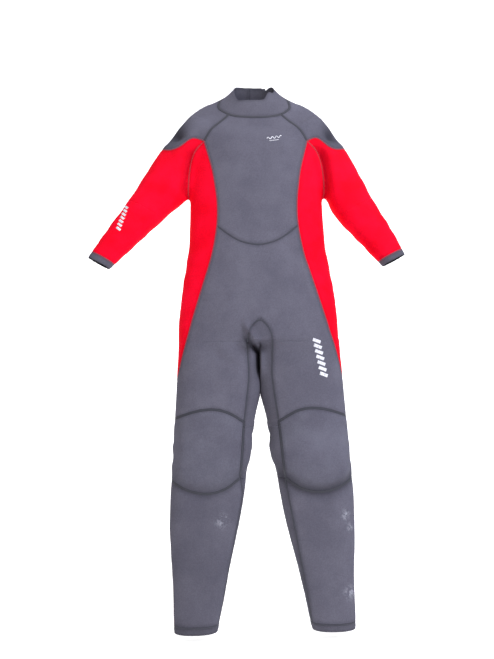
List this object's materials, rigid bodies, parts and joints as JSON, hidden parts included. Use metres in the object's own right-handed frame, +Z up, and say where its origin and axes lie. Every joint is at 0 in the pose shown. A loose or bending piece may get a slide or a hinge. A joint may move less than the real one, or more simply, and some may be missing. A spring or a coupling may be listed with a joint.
{
  "type": "full wetsuit",
  "caption": "Full-length steamer wetsuit with a low collar, back zip with slider and puller, raglan shoulders, side panels, knee pads and hemmed cuffs.",
  "frame": {"origin": "the hanger's point, between the shoulders and level with the base of the neck", "axes": "+Z up along the suit, the front faces -Y, the wearer's left is +X"},
  "size_m": [0.8099, 0.174, 1.462],
  "materials": {
    "red_jersey_neoprene": "matte",
    "grey_jersey_neoprene": "matte",
    "dark_jersey_neoprene": "matte",
    "abrasion_pad": "matte",
    "hook_and_loop": "matte",
    "zip_tape": "matte",
    "moulded_zip_teeth": "satin",
    "zip_metal": "satin"
  },
  "bodies": {
    "trunk": {"chest_panel": "grey_jersey_neoprene", "lower_front_panel": "grey_jersey_neoprene", "crotch_gusset": "dark_jersey_neoprene", "seat_panel": "grey_jersey_neoprene", "back_panel_left": "grey_jersey_neoprene", "side_panel_left": "red_jersey_neoprene", "shoulder_panel_left": "grey_jersey_neoprene", "collar_back_left": "dark_jersey_neoprene", "zip_tape_left": "zip_tape", "zip_chain_left": "moulded_zip_teeth", "sleeve_head_left": "red_jersey_neoprene", "thigh_top_left": "grey_jersey_neoprene", "back_panel_right": "grey_jersey_neoprene", "side_panel_right": "red_jersey_neoprene", "shoulder_panel_right": "grey_jersey_neoprene", "collar_back_right": "dark_jersey_neoprene", "zip_tape_right": "zip_tape", "zip_chain_right": "moulded_zip_teeth", "sleeve_head_right": "red_jersey_neoprene", "thigh_top_right": "grey_jersey_neoprene", "collar_front": "dark_jersey_neoprene", "zip_bottom_stop": "zip_tape"},
    "collar_tab": {"collar_tab": "hook_and_loop"},
    "zip_slider": {"zip_slider": "zip_metal"},
    "zip_puller": {"zip_puller": "zip_metal"},
    "upper_arm_left": {"upper_sleeve_left": "red_jersey_neoprene", "elbow_left": "red_jersey_neoprene"},
    "forearm_left": {"forearm_sleeve_left": "red_jersey_neoprene", "cuff_hem_left": "dark_jersey_neoprene"},
    "thigh_left": {"thigh_front_left": "grey_jersey_neoprene", "thigh_back_left": "grey_jersey_neoprene", "inner_thigh_left": "dark_jersey_neoprene", "knee_pad_left": "abrasion_pad", "knee_back_left": "grey_jersey_neoprene", "inner_knee_left": "dark_jersey_neoprene"},
    "shin_left": {"shin_panel_left": "grey_jersey_neoprene", "calf_panel_left": "grey_jersey_neoprene", "calf_side_panel_left": "red_jersey_neoprene", "inner_calf_left": "dark_jersey_neoprene", "ankle_hem_left": "dark_jersey_neoprene"},
    "upper_arm_right": {"upper_sleeve_right": "red_jersey_neoprene", "elbow_right": "red_jersey_neoprene"},
    "forearm_right": {"forearm_sleeve_right": "red_jersey_neoprene", "cuff_hem_right": "dark_jersey_neoprene"},
    "thigh_right": {"thigh_front_right": "grey_jersey_neoprene", "thigh_back_right": "grey_jersey_neoprene", "inner_thigh_right": "dark_jersey_neoprene", "knee_pad_right": "abrasion_pad", "knee_back_right": "grey_jersey_neoprene", "inner_knee_right": "dark_jersey_neoprene"},
    "shin_right": {"shin_panel_right": "grey_jersey_neoprene", "calf_panel_right": "grey_jersey_neoprene", "calf_side_panel_right": "red_jersey_neoprene", "inner_calf_right": "dark_jersey_neoprene", "ankle_hem_right": "dark_jersey_neoprene"}
  },
  "joints": [
    {"name": "shoulder_left", "type": "hinge", "parent": "trunk", "child": "upper_arm_left", "pos_m": [0.24057, -0.012, -0.246], "axis": [0, -1, 0], "range_deg": [-8, 40], "stiffness_Nm_per_rad": 6, "deforming": ["sleeve_head_left"]},
    {"name": "elbow_left", "type": "hinge", "parent": "upper_arm_left", "child": "forearm_left", "pos_m": [0.29635, -0.03769, -0.35992], "axis": [-0.886, 0, -0.4637], "range_deg": [-5, 75], "stiffness_Nm_per_rad": 3, "deforming": ["elbow_left"]},
    {"name": "hip_left", "type": "hinge", "parent": "trunk", "child": "thigh_left", "pos_m": [0.11, 0, -0.69], "axis": [-1, 0, 0], "range_deg": [-15, 50], "stiffness_Nm_per_rad": 10, "deforming": ["thigh_top_left"]},
    {"name": "knee_left", "type": "hinge", "parent": "thigh_left", "child": "shin_left", "pos_m": [0.127, 0, -0.96], "axis": [1, 0, 0], "range_deg": [0, 90], "stiffness_Nm_per_rad": 5, "deforming": ["knee_pad_left", "knee_back_left", "inner_knee_left"]},
    {"name": "shoulder_right", "type": "hinge", "parent": "trunk", "child": "upper_arm_right", "pos_m": [-0.24543, -0.012, -0.246], "axis": [0, 1, 0], "range_deg": [-8, 40], "stiffness_Nm_per_rad": 6, "deforming": ["sleeve_head_right"]},
    {"name": "elbow_right", "type": "hinge", "parent": "upper_arm_right", "child": "forearm_right", "pos_m": [-0.31755, -0.03769, -0.35992], "axis": [-0.809, 0, 0.5878], "range_deg": [-5, 75], "stiffness_Nm_per_rad": 3, "deforming": ["elbow_right"]},
    {"name": "hip_right", "type": "hinge", "parent": "trunk", "child": "thigh_right", "pos_m": [-0.11, 0, -0.69], "axis": [-1, 0, 0], "range_deg": [-15, 50], "stiffness_Nm_per_rad": 10, "deforming": ["thigh_top_right"]},
    {"name": "knee_right", "type": "hinge", "parent": "thigh_right", "child": "shin_right", "pos_m": [-0.127, 0, -0.96], "axis": [1, 0, 0], "range_deg": [0, 90], "stiffness_Nm_per_rad": 5, "deforming": ["knee_pad_right", "knee_back_right", "inner_knee_right"]},
    {"name": "zip_travel", "type": "slide", "parent": "trunk", "child": "zip_slider", "axis": [0, 0, -1], "range_m": [0, 0.41]},
    {"name": "puller_swing", "type": "hinge", "parent": "zip_slider", "child": "zip_puller", "pos_m": [0, 0.0583, 0.0183], "axis": [1, 0, 0], "range_deg": [0, 110]},
    {"name": "tab_peel", "type": "hinge", "parent": "trunk", "child": "collar_tab", "pos_m": [0.034, 0.0285, 0.065], "axis": [0, 0.7098, -0.7044], "range_deg": [0, 120]}
  ]
}
